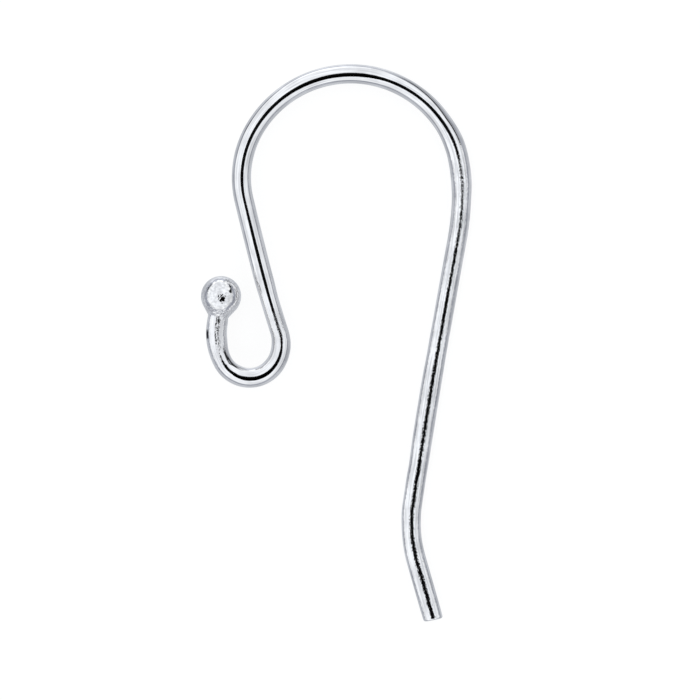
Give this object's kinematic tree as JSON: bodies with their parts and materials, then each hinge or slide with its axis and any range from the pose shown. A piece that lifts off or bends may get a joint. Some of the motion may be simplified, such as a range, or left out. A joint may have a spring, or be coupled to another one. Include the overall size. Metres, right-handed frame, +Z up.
{
  "type": "ear wire",
  "caption": "Round silver wire bent into an arch that hangs in a pierced ear, with a ball-ended open loop in front that carries a drop and a straight tail that kicks forward behind the lobe.",
  "frame": {"origin": "on the surface that the ear wire lies on, under the middle of its bounding box", "axes": "+Z up from that surface, square to it; +Y from the tail's end towards the crown of the arch; +X from the ball and loop side towards the back stem"},
  "size_m": [0.01, 0.0208, 0.0015],
  "materials": {
    "sterling_silver": "bright polished drawn wire, tumble burnished"
  },
  "bodies": {
    "root": {"ear_wire": "sterling_silver"}
  },
  "joints": []
}
